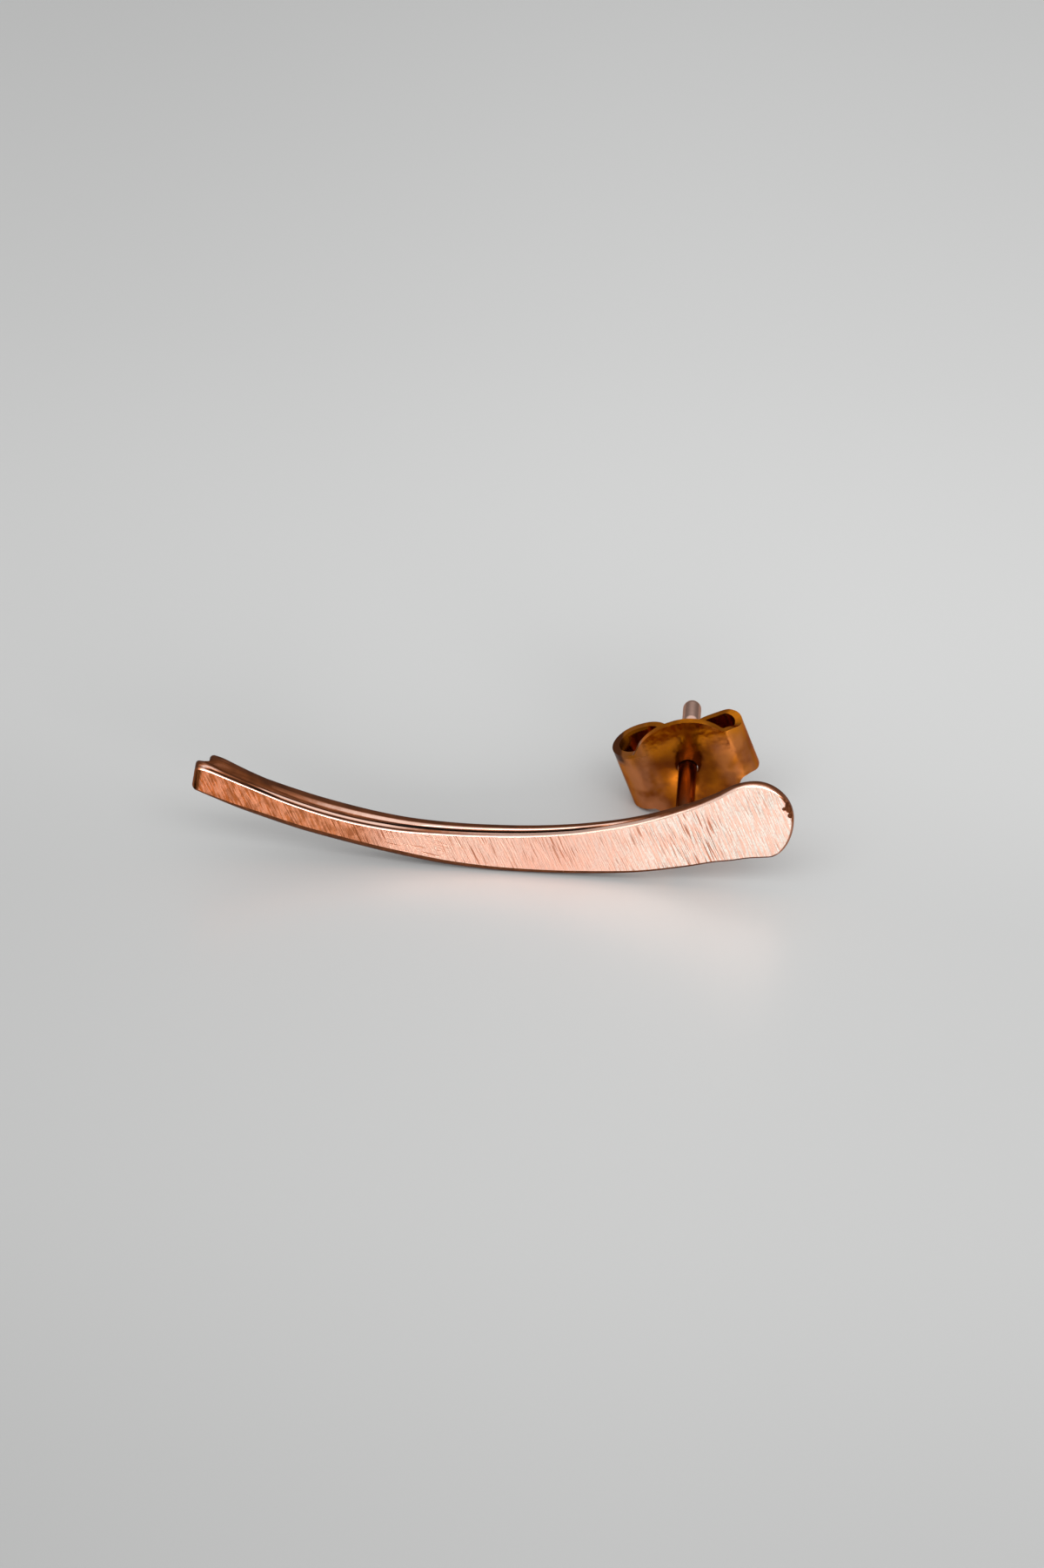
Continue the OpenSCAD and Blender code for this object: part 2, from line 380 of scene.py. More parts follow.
# At places along the bar, its height above the plain bar, from the front (0) to the back (1).
# The front lip lies lower than the back lip, with a narrow groove between them, and has a groove of its own
TOP_SHAPE = [
    (-12.2, [(0, -0.01), (0.15, 0.01), (0.4, 0.045), (0.5, 0.04), (0.56, -0.07), (0.68, -0.01),
             (0.85, -0.01), (1, -0.03)]),
    (-11.4, [(0, -0.03), (0.1, -0.02), (0.155, -0.09), (0.21, 0), (0.3, 0.02), (0.405, 0.03), (0.46, -0.13),
             (0.58, 0), (0.85, 0), (1, -0.02)]),
    (-10.4, [(0, -0.04), (0.1, -0.03), (0.155, -0.1), (0.21, -0.01), (0.305, 0), (0.36, -0.15), (0.48, 0.03),
             (0.85, 0.03), (1, 0)]),
    (-9.0, [(0, -0.05), (0.1, -0.05), (0.155, -0.14), (0.21, -0.06), (0.305, -0.02), (0.36, -0.17), (0.42, 0),
            (0.5, 0.05), (0.85, 0.05), (1, 0.03)]),
    (-7.0, [(0, -0.06), (0.1, -0.06), (0.155, -0.15), (0.215, -0.085), (0.31, -0.035), (0.365, -0.18),
            (0.42, -0.005), (0.46, 0.01), (0.61, 0.055), (0.85, 0.055), (1, 0.03)]),
    (-4.5, [(0, -0.06), (0.1, -0.06), (0.16, -0.15), (0.23, -0.08), (0.34, -0.035), (0.4, -0.18),
            (0.45, -0.005), (0.49, 0.01), (0.63, 0.055), (0.85, 0.055), (1, 0.03)]),
    (-2.5, [(0, -0.06), (0.12, -0.06), (0.18, -0.09), (0.25, -0.06), (0.35, -0.06), (0.41, -0.18),
            (0.455, -0.01), (0.53, 0.05), (0.85, 0.05), (1, 0.03)]),
    (0.5, [(0, -0.06), (0.36, -0.06), (0.42, -0.18), (0.465, -0.01), (0.55, 0.05), (0.85, 0.05), (1, 0.03)]),
    (3.3, [(0, -0.05), (0.37, -0.05), (0.43, -0.13), (0.475, -0.01), (0.56, 0.04), (0.85, 0.04), (1, 0.02)]),
    (4.8, [(0, -0.03), (0.38, -0.01), (0.43, -0.02), (0.48, 0.01), (0.56, 0.03), (0.85, 0.03), (1, 0.02)]),
    (8.0, [(0, -0.01), (0.4, 0.03), (0.85, 0.025), (1, 0.01)]),
    (10.2, [(0, 0), (0.4, 0.02), (1, 0)]),
    (11.8, [(0, 0), (1, 0)]),
]
# the largest height and the largest depth that the table may hold
UP, DEPTH = 0.1, 0.3


def across(table, x, s):
    """The value of a table of rows at a place along the bar and a share of its thickness."""
    if x <= table[0][0]:
        return ramp(s, table[0][1])
    for (a, here), (b, there) in zip(table, table[1:]):
        if x <= b:
            u = (x - a) / (b - a)
            return ramp(s, here) * (1 - u) + ramp(s, there) * u
    return ramp(s, table[-1][1])


def top_share(v):
    """1 on the upper edge, fading down the sides."""
    x = v.co.x
    if x > TOP_END:
        return 0.0
    reach = ramp(x, TOP_REACH)
    return smooth(v.co.z, outline(x, UPPER) - reach, outline(x, UPPER) - reach / 4)


def shape_top(bar):
    """Heights and depths have a group each, because a weight is never below 0."""
    def height(v):
        return across(TOP_SHAPE, v.co.x, share(v))
    weight_group(bar, "up", lambda v: height(v) / UP * top_share(v))
    weight_group(bar, "down", lambda v: -height(v) / DEPTH * top_share(v))
    push(bar, "up", "Z", UP)
    push(bar, "down", "Z", -DEPTH)


# The post, with its solder, notch and round tip
SOLDER_STEPS, TIP_ROUND_STEPS, NOTCH_STEPS, SHAFT_STEPS = 8, 9, 6, 6
# where the plain shaft begins behind the bar and ends before the tip
SHAFT_START, SHAFT_END = 1.0, 3.2


def post_profile(back, tip):
    """Places along the post and its radius there, apart from the tip's own point."""
    foot_r, foot = POST_R + SOLDER, back + SOLDER_RIM
    notch, shoulder = tip - NOTCH_FROM_TIP, tip - POST_R
    profile = [(back - POST_SINK, foot_r), (foot, foot_r)]
    profile += [(foot + SOLDER * (1 - math.cos(a)), POST_R + SOLDER * (1 - math.sin(a)))
                for a in angles(SOLDER_STEPS, 1, SOLDER_STEPS)]
    shaft, length = back + SHAFT_START, tip - SHAFT_END - back - SHAFT_START
    profile += [(shaft + length * k / SHAFT_STEPS, POST_R) for k in range(SHAFT_STEPS + 1)]
    profile += [(notch + NOTCH_HALF * k / NOTCH_STEPS,
                 POST_R - NOTCH_DEPTH * (1 + math.cos(math.pi * k / NOTCH_STEPS)) / 2)
                for k in range(-NOTCH_STEPS, NOTCH_STEPS + 1)]
    profile += [(shoulder + POST_R * math.sin(a), POST_R * math.cos(a))
                for a in angles(TIP_ROUND_STEPS, 0, TIP_ROUND_STEPS - 1)]
    return profile


def turn_post():
    back = thickness(POST_X)
    tip = back + POST_LENGTH
    profile = post_profile(back, tip)
    y, r = profile[0]
    bpy.ops.object.select_all(action="DESELECT")
    bpy.ops.mesh.primitive_circle_add(vertices=ROUND_SIDES, radius=r, fill_type="NGON", location=(0, 0, 0),
                                      rotation=(-math.pi / 2, 0, 0))
    post = settled()
    edit()
    picked("verts", lambda v: True)
    move(x=POST_X, y=y, z=POST_Z)
    picked("faces", lambda f: True)
    for next_y, next_r in profile[1:]:
        draw_out(y=next_y - y)
        resize(x=next_r / r, z=next_r / r, about=(POST_X, next_y, POST_Z))
        y, r = next_y, next_r
    draw_out(y=tip - y)
    bpy.ops.mesh.merge(type="CENTER")
    face_outward()
    leave()
    return post


# The chips in the paddle's rim: the centre of each, and half its size along x, y and z
CHIPS = (((11.98, -0.02, 1.72), (0.18, 0.2, 0.34)), ((11.79, -0.03, 1.58), (0.11, 0.1, 0.09)),
         ((12.03, -0.02, 1.27), (0.1, 0.12, 0.12)))
CHIP_GRAIN, CHIP_ROUGHNESS = 0.1, 0.4
# from here on, points closer than this are merged after the cut
CHIPS_FROM, MERGED = 11.5, 0.0005


def chip_tool(spot, half):
    bpy.ops.object.select_all(action="DESELECT")
    bpy.ops.mesh.primitive_ico_sphere_add(subdivisions=3, radius=1, location=spot, scale=half)
    tool = settled()
    rough = bpy.data.textures.new("chip_edge", "CLOUDS")
    rough.noise_scale = CHIP_GRAIN
    modifier(tool, "DISPLACE", strength=CHIP_ROUGHNESS * min(half), mid_level=0.5, texture=rough,
             texture_coords="LOCAL")
    return tool


def chip_paddle(bar):
    chip = chip_tool(*CHIPS[0])
    for more in CHIPS[1:]:
        combine(chip, chip_tool(*more), "UNION")
    combine(bar, chip, "DIFFERENCE")
    edit()
    picked("verts", lambda v: v.co.x > CHIPS_FROM)
    bpy.ops.mesh.remove_doubles(threshold=MERGED)
    leave()


bar = forge_bar()
round_rims(bar)
band_lines(bar)
shape_top(bar)
combine(bar, turn_post(), "UNION")
chip_paddle(bar)

# The butterfly nut, in its own frame: x along its wings, y along the post and z across the sheet
# columns: reach from the hole, depth of the roll, height at the plate, height at the end, how far the end is
# bent up
LEFT_WING = (2.45, 2.35, 2.85, 2.65, 0.0)
RIGHT_WING = (2.3, 1.8, 2.8, 2.1, 0.25)
# steps along the tab and for each quarter of the two rolls, and the length of a step on the way back
TAB_STEPS, ROLL_STEPS, END_ROLL_STEPS, BACK_STEP = 14, 11, 12, 0.12
# where the sheet begins to roll, is at the roll's front and is all in the roll: thicknesses of the sheet from
# the plate's front
ROLL_START, ROLL_FRONT, ROLL_FULL = 0.6, 1.6, 2.4
# lines along the sheet, the dish round the hole, the rounding of the sharp edges, and the drill
SHEET_CUTS = 15
DISH_R, DISH_DEPTH = 0.75, 0.3
NUT_EDGE, NUT_EDGE_SEGMENTS, NUT_EDGE_ANGLE = 0.05, 3, math.radians(50)
DRILL_LENGTH = 12


def wing_path(wing):
    """Points of the sheet's middle line, from the plate's centre round the roll to its end at the post."""
    reach, depth = wing[:2]
    r = depth / 2 - SHEET / 2
    outer, inner = HOLE_R + reach - depth / 2, HOLE_R + depth / 2
    path = [(outer * k / TAB_STEPS, SHEET / 2) for k in range(0, TAB_STEPS + 1)]
    path += [(outer + r * math.sin(a), depth / 2 - r * math.cos(a))
             for a in angles(ROLL_STEPS, 1, 2 * ROLL_STEPS)]
    steps = max(1, round(abs(outer - inner) / BACK_STEP))
    path += [(outer + (inner - outer) * k / steps, depth - SHEET / 2) for k in range(1, steps + 1)]
    path += [(inner - r * math.sin(a), depth / 2 + r * math.cos(a))
             for a in angles(END_ROLL_STEPS, 1, END_ROLL_STEPS)]
    return path


def wing_edges(wing, x, y):
    """Lower and upper edge of the sheet at a point of its path."""
    reach, depth, root, end, lift = wing
    # u runs out along the tab, v back along the roll
    u = min(x / (HOLE_R + reach + SHEET), 1)
    front = ROLL_FRONT * SHEET
    v = min(max((y - front) / (depth + SHEET - front), 0), 1)
    disc = math.sqrt(max(0.0, PLATE_R ** 2 - x * x))
    half_tab = max(root / 2 + (end / 2 - root / 2) * u, disc)
    half_side = root / 2 + (end / 2 - root / 2) * v
    rolled = smooth(y, ROLL_START * SHEET, ROLL_FULL * SHEET)
    half = half_tab * (1 - rolled) + min(half_tab, half_side) * rolled
    middle = lift * (u * (1 - rolled) + v * rolled if v < u else u)
    return middle - half, middle + half


def roll_nut():
    line = [(-x, y, *wing_edges(LEFT_WING, x, y)) for x, y in wing_path(LEFT_WING)][::-1]
    line += [(x, y, *wing_edges(RIGHT_WING, x, y)) for x, y in wing_path(RIGHT_WING)][1:]
    nut = upright_square("rolled_nut", 0.5)
    edit()
    # the two ends of the square, at 0 and 1, go to the first two places of the line
    for index, side in ((0, lambda v: v.co.x < 0.5), (1, lambda v: v.co.x > 0.5)):
        x, y, low, high = line[index]
        picked("verts", side)
        resize(z=high - low)
        move(x=x - index, y=y, z=(low + high) / 2)
    x1, y1 = line[1][:2]
    picked("edges", lambda e: all(abs(v.co.x - x1) < SAME and abs(v.co.y - y1) < SAME for v in e.verts))
    for a, b in zip(line[1:], line[2:]):
        draw_out(x=b[0] - a[0], y=b[1] - a[1], z=(b[2] + b[3] - a[2] - a[3]) / 2)
        resize(z=(b[3] - b[2]) / (a[3] - a[2]), about=(b[0], b[1], (b[2] + b[3]) / 2))
    # with lines along it the sheet can be dished
    picked("edges", lambda e: (e.verts[0].co - e.verts[1].co).xy.length < NEAR)
    bpy.ops.mesh.subdivide(number_cuts=SHEET_CUTS)
    face_outward()
    leave()
    return nut


def dish(v):
    """The sheet is pressed back round the hole."""
    r = math.hypot(v.co.x, v.co.z)
    return math.exp(-(r / DISH_R) ** 2) if v.co.y < SHEET else 0.0


def finish_nut(nut):
    weight_group(nut, "dish", dish)
    push(nut, "dish", "Y", DISH_DEPTH)
    modifier(nut, "SOLIDIFY", thickness=SHEET, offset=0.0, use_even_offset=True)
    edit()
    face_outward()
    leave()
    bpy.ops.object.select_all(action="DESELECT")
    bpy.ops.mesh.primitive_cylinder_add(vertices=ROUND_SIDES, radius=HOLE_R, depth=DRILL_LENGTH,
                                        rotation=(math.pi / 2, 0, 0))
    combine(nut, bpy.context.object, "DIFFERENCE")
    modifier(nut, "BEVEL", width=NUT_EDGE, segments=NUT_EDGE_SEGMENTS, limit_method="ANGLE",
             angle_limit=NUT_EDGE_ANGLE, use_clamp_overlap=True)


nut = roll_nut()
finish_nut(nut)

# The brown skin of the forging across the upper edge, from the front (0) to the back (1): where it is rubbed
# bright (0), where it is dark (1), and where a groove gets black painted shade (more than 1)
TOP_SKIN_AND_SHADE = [
    (-12.1, [(0, 0.9), (0.1, 0.95), (1, 1)]),
    (-11.97, [(0, 0.5), (0.1, 0.35), (0.2, 0.5), (0.28, 0.95), (0.42, 0.9), (0.5, 1), (1, 1)]),
    (-11.8, [(0, 0.1), (0.05, 0), (0.12, 0.4), (0.18, 0), (0.32, 0.6), (0.46, 1), (0.7, 0.95), (1, 1)]),
    (-11.5, [(0, 0), (0.03, 0.1), (0.07, 1.2), (0.18, 1.2), (0.22, 0), (0.28, 0.1), (0.32, 0.9), (0.7, 0.95),
             (0.78, 0.6), (0.84, 1), (1, 1)]),
    (-10.9, [(0, 0), (0.03, 0.2), (0.06, 1.2), (0.18, 1.2), (0.22, 0.4), (0.27, 0.5), (0.31, 1), (1, 1)]),
    (-10.0, [(0, 0), (0.03, 0.2), (0.06, 1.3), (0.2, 1.2), (0.23, 0.8), (0.27, 1), (1, 1)]),
    (-9.2, [(0, 0), (0.03, 0.2), (0.06, 1.5), (0.2, 1.5), (0.23, 0), (0.27, 0.1), (0.3, 1), (0.6, 0.95),
            (1, 1)]),
    (-8.5, [(0, 0), (0.03, 0.2), (0.08, 1.4), (0.18, 1.4), (0.22, 0), (0.29, 0), (0.32, 1), (0.44, 1),
            (0.5, 0.6), (0.62, 0.6), (0.69, 1), (1, 1)]),
    (-7.0, [(0, 0), (0.04, 0.05), (0.09, 1.4), (0.18, 1.4), (0.22, 0), (0.3, 0), (0.33, 1), (0.42, 1),
            (0.46, 0.3), (0.61, 0.35), (0.67, 0.95), (1, 1)]),
    (-4.5, [(0, 0), (0.06, 0.05), (0.1, 1.4), (0.2, 1.4), (0.23, 0), (0.33, 0.1), (0.37, 1.3), (0.45, 1.3),
            (0.47, 0.05), (0.62, 0.1), (0.68, 0.95), (1, 1)]),
    (-2.5, [(0, 0.1), (0.1, 0.35), (0.2, 0.6), (0.33, 0.35), (0.36, 1.6), (0.455, 1.6), (0.475, 0),
            (0.59, 0.05), (0.65, 0.95), (1, 1)]),
    (0.5, [(0, 0), (0.34, 0.1), (0.37, 1.6), (0.465, 1.6), (0.485, 0), (0.56, 0.05), (0.61, 0.95), (1, 1)]),
    (3.6, [(0, 0), (0.35, 0.05), (0.38, 1.6), (0.475, 1.6), (0.5, 0), (0.57, 0.05), (0.62, 0.95), (1, 1)]),
    (5.0, [(0, 0), (0.36, 0.05), (0.42, 0.5), (0.48, 0.1), (0.55, 0.05), (0.61, 0.95), (1, 1)]),
    (6.4, [(0, 0), (0.34, 0.1), (0.42, 0.9), (1, 1)]),
    (7.2, [(0, 0), (0.1, 0.2), (0.2, 0.85), (1, 1)]),
    (8.4, [(0, 0), (0.12, 0.25), (0.25, 0.85), (1, 1)]),
    (10.2, [(0, 0), (0.2, 0.1), (0.3, 0.65), (0.6, 1), (1, 1)]),
    (11.3, [(0, 0.15), (0.1, 0.35), (0.3, 0.6), (0.6, 0.9), (1, 1)]),
    (11.8, [(0, 0.35), (0.12, 0.6), (0.3, 0.7), (1, 0.9)]),
]
# how dark the skin is on the rest of the bar; the lower rim and the narrow end carry brown skin and painted
# shade, and by how much that painted shade deepens towards the back
SOLDER_SKIN, WIRE_SKIN, BACK_SKIN, PADDLE_TIP_SKIN, CHIP_SKIN = 0.5, 0.3, 0.6, 0.4, 0.97
RIM_SKIN_AND_SHADE, RIM_SHADING, END_SKIN_AND_SHADE, END_SHADING = 0.88, 0.12, 0.75, 0.25
# the walls of the chips lie within these limits along x, y and z
CHIP_WALLS = ((11.6, 12.12), (0.001, 0.3), (1.1, 2.12))
# the lower rim and the bright face end here, near the paddle's tip
LOW_RIM_END, BRIGHT_END = 11.6, 11.7
# the brown skin and its painted shade are left this far from the narrow end on the face and on the rims,
# where they look this far outward
END_FACE, END_RIM, END_OUTWARD = 0.2, 0.3, 0.5
# what is as near as this to the face or to the back belongs to it
FACE_DEPTH, BACK_DEPTH = 0.001, 0.002
# round the post: how far beyond the wire, from what height above the bar's back, and where the solder ends
POST_ROUND, POST_FROM, SOLDER_END = 0.3, 0.02, 0.4


def on_post(x, y, z):
    return math.hypot(x - POST_X, z - POST_Z) < POST_R + POST_ROUND and y > thickness(x) + POST_FROM


def on_chip(v):
    """The cut walls lie within the limits and look neither to the front nor straight out of the tip."""
    inside = all(low < value < high for value, (low, high) in zip(v.co, CHIP_WALLS))
    return inside and abs(v.normal.y) < 0.98 and v.normal.x < 0.75


def tarnish_and_shade(v):
    """Where the brown skin of the forging is left: 0 rubbed bright, 1 dark, and above 1 black painted shade
    in the grooves; the lower rim and the narrow end carry painted shade as well.
    """
    x, y, z = v.co
    from_end = x + HALF
    if on_post(x, y, z):
        return SOLDER_SKIN if y < thickness(x) + SOLDER_END else WIRE_SKIN
    before_tip = min(x, TOP_END)
    low = z < (upper(before_tip) + lower(before_tip)) / 2 and x < LOW_RIM_END
    if y < FACE_DEPTH:
        if low or from_end < END_FACE:
            return RIM_SKIN_AND_SHADE
        return PADDLE_TIP_SKIN if x > BRIGHT_END else 0.0
    if y > thickness(x) - BACK_DEPTH:
        return BACK_SKIN
    if on_chip(v):
        return CHIP_SKIN
    # the narrow end's rims: brown skin with painted shade, deeper towards the back
    if from_end < END_RIM and (low or v.normal.x < -END_OUTWARD):
        return END_SKIN_AND_SHADE + END_SHADING * smooth(y, 0.03, 0.2)
    # the lower rim: brown skin with painted shade, deeper as it turns under the bar towards the back
    if low:
        return RIM_SKIN_AND_SHADE + RIM_SHADING * smooth(y, 0.01, 0.12)
    return across(TOP_SKIN_AND_SHADE, x, share(v))


weight_group(bar, "skew", skew_share)
point_value(bar, "tarnish_and_shade", tarnish_and_shade)
push(bar, "skew", "X", LIP_STEP)

for piece in (bar, nut):
    bpy.ops.object.select_all(action="DESELECT")
    piece.select_set(True)
    bpy.context.view_layer.objects.active = piece
    bpy.ops.object.shade_smooth()
    modifier(piece, "WEIGHTED_NORMAL", weight=50, keep_sharp=False)

NUT_PLACE = (Matrix.Translation((POST_X, thickness(POST_X) + NUT_GAP, POST_Z))
             @ Matrix.Rotation(math.radians(-NUT_TURN), 4, "Y"))
place(bar, REST)
place(nut, REST @ NUT_PLACE)


# Nodes of the materials
def group(name, inputs, outputs):
    made = bpy.data.node_groups.new(name, "ShaderNodeTree")
    for label, kind, value in inputs:
        socket = made.interface.new_socket(label, in_out="INPUT", socket_type=kind)
        if value is not None:
            socket.default_value = value
    for label, kind in outputs:
        made.interface.new_socket(label, in_out="OUTPUT", socket_type=kind)
    return made, made.nodes.new("NodeGroupInput"), made.nodes.new("NodeGroupOutput")


def use(tree, made, **values):
    """Puts a group into a material and gives its one output."""
    n = tree.nodes.new("ShaderNodeGroup")
    n.node_tree = made
    for label, value in values.items():
        join(tree, n.inputs[label], value)
    return n.outputs[0]


def join(tree, target, source):
    """Links a socket, or sets a plain value."""
    if isinstance(source, bpy.types.NodeSocket):
        tree.links.new(source, target)
    else:
        target.default_value = source


def maths(tree, operation, a, b=0.0, clamp=False):
    n = tree.nodes.new("ShaderNodeMath")
    n.operation, n.use_clamp = operation, clamp
    join(tree, n.inputs[0], a)
    join(tree, n.inputs[1], b)
    return n.outputs[0]


def times(tree, first, *others):
    """The product of some values."""
    for value in others:
        first = maths(tree, "MULTIPLY", first, value)
    return first


def between(tree, value, low, high, to_low=0.0, to_high=1.0):
    """A soft step from one value to another."""
    n = tree.nodes.new("ShaderNodeMapRange")
    n.interpolation_type = "SMOOTHSTEP"
    for socket, item in zip(n.inputs, (value, low, high, to_low, to_high)):
        join(tree, socket, item)
    return n.outputs[0]


def stretch(tree, value, rise, fall):
    """1 along a stretch that fades in over one range and out over another."""
    return times(tree, between(tree, value, *rise), between(tree, value, fall[1], fall[0]))


def blend(tree, factor, a, b, kind="MIX"):
    n = tree.nodes.new("ShaderNodeMix")
    n.data_type, n.blend_type = "RGBA", kind
    join(tree, n.inputs[0], factor)
    join(tree, n.inputs[6], a)
    join(tree, n.inputs[7], b)
    return n.outputs[2]


def noise(tree, vector, scale, detail=2.0, roughness=0.5):
    n = tree.nodes.new("ShaderNodeTexNoise")
    join(tree, n.inputs["Vector"], vector)
    join(tree, n.inputs["Scale"], scale)
    n.inputs["Detail"].default_value = detail
    n.inputs["Roughness"].default_value = roughness
    return n.outputs["Fac"]


def split(tree, vector):
    """The x, y and z of a vector."""
    n = tree.nodes.new("ShaderNodeSeparateXYZ")
    tree.links.new(vector, n.inputs[0])
    return n.outputs["X"], n.outputs["Y"], n.outputs["Z"]


def tones(tree, value, table, low, high):
    """A soft run of colours along a value, from a table of (value, colour)."""
    n = tree.nodes.new("ShaderNodeValToRGB")
    n.color_ramp.interpolation = "B_SPLINE"
    while len(n.color_ramp.elements) < len(table):
        n.color_ramp.elements.new(0.5)
    for element, (at, colour) in zip(n.color_ramp.elements, table):
        element.position = (at - low) / (high - low)
        element.color = (*colour, 1)
    from_low = maths(tree, "SUBTRACT", value, low)
    tree.links.new(maths(tree, "DIVIDE", from_low, high - low), n.inputs["Fac"])
    return n.outputs["Color"]


def own_place(tree, matrix):
    """Object coordinates turned into a piece's own millimetres."""
    where, n = tree.nodes.new("ShaderNodeTexCoord"), tree.nodes.new("ShaderNodeMapping")
    spot, turned, size = matrix.decompose()
    n.inputs["Location"].default_value = spot
    n.inputs["Rotation"].default_value = turned.to_euler("XYZ")
    n.inputs["Scale"].default_value = size
    tree.links.new(where.outputs["Object"], n.inputs["Vector"])
    return n.outputs[0]


def surface(name, metallic):
    made = bpy.data.materials.new(name)
    made.use_nodes = True
    shader = made.node_tree.nodes["Principled BSDF"]
    shader.inputs["Metallic"].default_value = metallic
    return made, made.node_tree, shader


def relief(tree, shader, height, depth_mm):
    """A bump whose height 1 is this many millimetres."""
    n = tree.nodes.new("ShaderNodeBump")
    n.inputs["Strength"].default_value = 1
    n.inputs["Distance"].default_value = depth_mm * MM
    join(tree, n.inputs["Height"], height)
    tree.links.new(n.outputs[0], shader.inputs["Normal"])


# Each mark lies this much further along than the one beside it, so that they don't end on one line
STAGGER = 0.37


def file_marks():
    """Straight fine marks of a file: long along x, narrow along z."""
    made, take, give = group("file_marks", [
        ("Vector", "NodeSocketVector", None), ("Length", "NodeSocketFloat", 1.5),
        ("Width", "NodeSocketFloat", 0.06), ("Bare", "NodeSocketFloat", 0.55),
        ("Soft", "NodeSocketFloat", 0.1)], [("Marks", "NodeSocketFloat")])
    x, y, z = split(made, take.outputs["Vector"])
    along = maths(made, "DIVIDE", x, take.outputs["Length"])
    aside = maths(made, "DIVIDE", z, take.outputs["Width"])
    stretched = made.nodes.new("ShaderNodeCombineXYZ")
    made.links.new(maths(made, "ADD", along, times(made, aside, STAGGER)), stretched.inputs["X"])
    made.links.new(y, stretched.inputs["Y"])
    made.links.new(aside, stretched.inputs["Z"])
    grain = noise(made, stretched.outputs[0], 1.0, 1.0)
    top = maths(made, "ADD", take.outputs["Bare"], take.outputs["Soft"])
    made.links.new(between(made, grain, take.outputs["Bare"], top), give.inputs["Marks"])
    return made


def worn_skin():
    """The brown skin and painted shade at the points, broken up by noise where it wears away."""
    made, take, give = group("worn_skin", [
        ("Vector", "NodeSocketVector", None), ("Tarnish", "NodeSocketFloat", 0.5),
        ("Ragged", "NodeSocketFloat", 0.3), ("Grain", "NodeSocketFloat", 5.0)], [("Skin", "NodeSocketFloat")])
    rough = noise(made, take.outputs["Vector"], take.outputs["Grain"], 3.0, 0.6)
    swing = times(made, maths(made, "SUBTRACT", rough, 0.5), take.outputs["Ragged"])
    made.links.new(maths(made, "ADD", take.outputs["Tarnish"], swing, clamp=True), give.inputs["Skin"])
    return made


MARKS, SKIN = file_marks(), worn_skin()

# The front face: the marks of the file run down to the right across it
# pixels of the photo for a millimetre along the bar and up its face, and a mark's run there, right and down
PIXELS_ALONG, PIXELS_UP = 28.5, 23.8
MARK_RIGHT, MARK_DOWN = 22, 40
RUN = Vector((MARK_RIGHT / PIXELS_ALONG, 0, -MARK_DOWN / PIXELS_UP)).normalized()
TO_MARKS = Matrix(((RUN.x, 0, RUN.z, 0), (0, 1, 0, 0), (-RUN.z, 0, RUN.x, 0), (0, 0, 0, 1)))
# the scratches are nearly level, this many degrees off
SCRATCH_SLOPE = 12
TO_SCRATCHES = Matrix.Rotation(math.radians(-SCRATCH_SLOPE), 4, "Y")
# rubbed copper along the bar with painted light on it, browner and darker towards the narrow end and paler
# towards the paddle: distance from the middle and colour, in a ramp of this reach to either side
FACE_TONES_AND_LIGHT = [(-12.2, (0.66, 0.155, 0.038)), (-9.5, (0.70, 0.19, 0.05)), (-6.5, (0.72, 0.25, 0.10)),
              (-5.4, (0.74, 0.28, 0.14)), (-4.6, (0.92, 0.49, 0.35)), (-3.2, (1.0, 0.64, 0.50)),
              (0.0, (1.0, 0.70, 0.58)), (3.0, (0.91, 0.53, 0.42)), (6.0, (1.0, 0.87, 0.77)),
              (8.5, (1.0, 0.96, 0.88)), (11.0, (1.0, 0.93, 0.84))]
TONES_REACH = 13.0
# the stretches along the bar that have scratches or deep marks: where they fade in and where out
SCRATCHED = ((-5.0, -3.8), (-2.2, -1.4))
RIGHT_MARKED, LEFT_MARKED = ((6.4, 7.4), (9.0, 10.0)), ((-6.4, -5.8), (-5.1, -4.7))
# colours on the wide and on the narrow part: between the marks, in the pale streaks and in the deep marks;
# the narrow part's are darker, browner copies, which are painted shade
WIDE_RED, NARROW_RED = (0.86, 0.38, 0.24, 1), (0.46, 0.13, 0.04, 1)
WIDE_STREAK, NARROW_STREAK = (0.95, 0.49, 0.35, 1), (0.80, 0.32, 0.16, 1)
WIDE_MARK, NARROW_MARK = (0.45, 0.13, 0.05, 1), (0.28, 0.08, 0.025, 1)
# mottled tone on the narrow part with painted reflections in it, and the narrow end's brown skin with painted
# shade
MOTTLE_AND_REFLECTION, END_BROWN_AND_SHADE = (0.36, 0.105, 0.035, 1), (0.11, 0.032, 0.007, 1)
# how deep the bumps of each material are, in millimetres
FACE_RELIEF, BAR_RELIEF, NUT_RELIEF = 0.014, 0.003, 0.03


